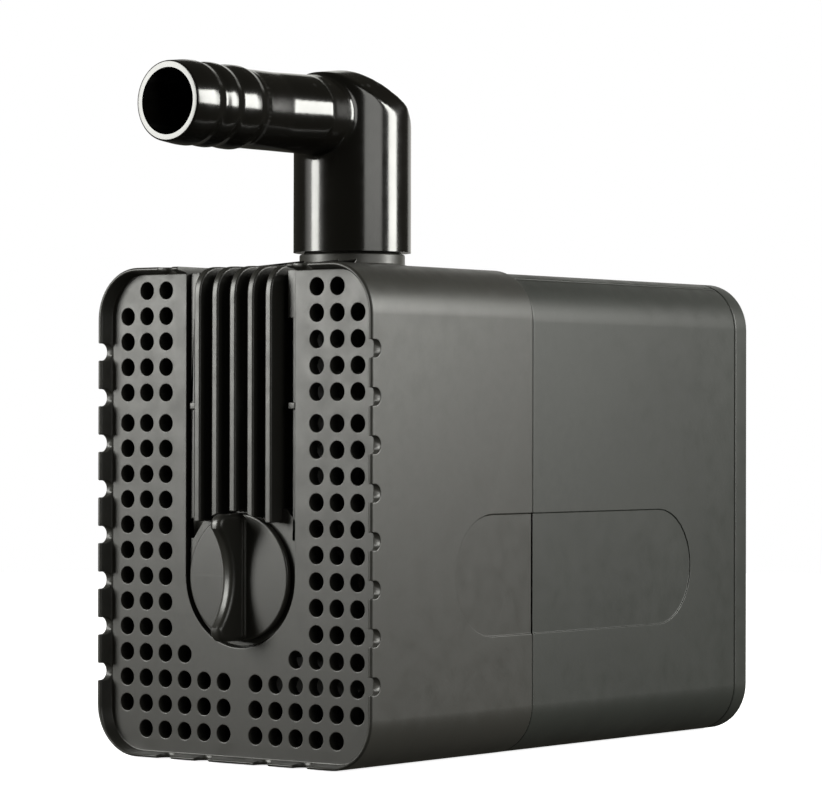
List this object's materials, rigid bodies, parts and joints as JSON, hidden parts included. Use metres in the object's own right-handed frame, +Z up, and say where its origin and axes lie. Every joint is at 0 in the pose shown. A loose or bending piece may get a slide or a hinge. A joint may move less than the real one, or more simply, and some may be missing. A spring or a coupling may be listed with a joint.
{
  "type": "fountain submersible pump",
  "caption": "Small submersible fountain pump with a drilled strainer cover, a flow dial and a swivelling barbed hose elbow.",
  "frame": {"origin": "centre of the flat underside of the pump body", "axes": "+Z up along the outlet neck, -Y out of the strainer face, +X out of the labelled side"},
  "size_m": [0.0554, 0.1213, 0.1086],
  "materials": {
    "satin_grey_plastic": "satin moulded plastic with a fine texture",
    "housing_grey_plastic": "satin moulded plastic with a fine texture",
    "gloss_black_plastic": "polished moulded plastic",
    "dial_black_plastic": "satin moulded plastic",
    "inner_black_plastic": "satin moulded plastic",
    "natural_plastic": "uncoloured moulded plastic",
    "black_rubber": "matt rubber",
    "ferrite": "ground ferrite",
    "ceramic": "polished ceramic",
    "laminated_steel": "stacked sheet steel",
    "spring_steel": "plain spring steel",
    "enamelled_copper": "enamelled copper wire",
    "potting_resin": "poured resin",
    "brown_insulation": "extruded insulation",
    "blue_insulation": "extruded insulation",
    "green_insulation": "extruded insulation"
  },
  "bodies": {
    "body": {"motor_housing": "housing_grey_plastic", "rear_cap": "housing_grey_plastic", "cable_gland": "black_rubber", "rotor_well": "inner_black_plastic", "stator_core": "laminated_steel", "bobbin_left": "natural_plastic", "bobbin_right": "natural_plastic", "winding_left": "enamelled_copper", "winding_right": "enamelled_copper", "thermal_cutout": "ceramic", "potting_slab": "potting_resin", "lead_live": "brown_insulation", "lead_neutral": "blue_insulation", "lead_earth": "green_insulation", "pump_chamber": "satin_grey_plastic", "outlet_o_ring": "black_rubber", "chamber_seal": "black_rubber", "intake_cover": "inner_black_plastic", "shaft": "ceramic", "front_bearing": "black_rubber", "rear_bearing": "black_rubber", "front_washer": "ceramic", "rear_washer": "ceramic"},
    "strainer": {"front_cover": "satin_grey_plastic"},
    "elbow": {"outlet_elbow": "gloss_black_plastic"},
    "dial": {"flow_dial": "dial_black_plastic", "dial_clip": "spring_steel", "dial_shutter": "natural_plastic"},
    "rotor": {"impeller": "natural_plastic", "rotor_sleeve": "natural_plastic", "rotor_magnet": "ferrite"}
  },
  "joints": [
    {"name": "cover_pull_off", "type": "slide", "parent": "body", "child": "strainer", "axis": [0, -1, 0], "range_m": [0, 0.045]},
    {"name": "elbow_swivel", "type": "hinge", "parent": "body", "child": "elbow", "pos_m": [0, -0.0223, 0.085], "axis": [0, 0, 1], "continuous": true},
    {"name": "dial_turn", "type": "hinge", "parent": "body", "child": "dial", "pos_m": [0, -0.0504, 0.0286], "axis": [0, 1, 0], "range_deg": [0, 90]},
    {"name": "rotor_spin", "type": "hinge", "parent": "body", "child": "rotor", "pos_m": [0, -0.0134, 0.0286], "axis": [0, 1, 0], "continuous": true}
  ]
}
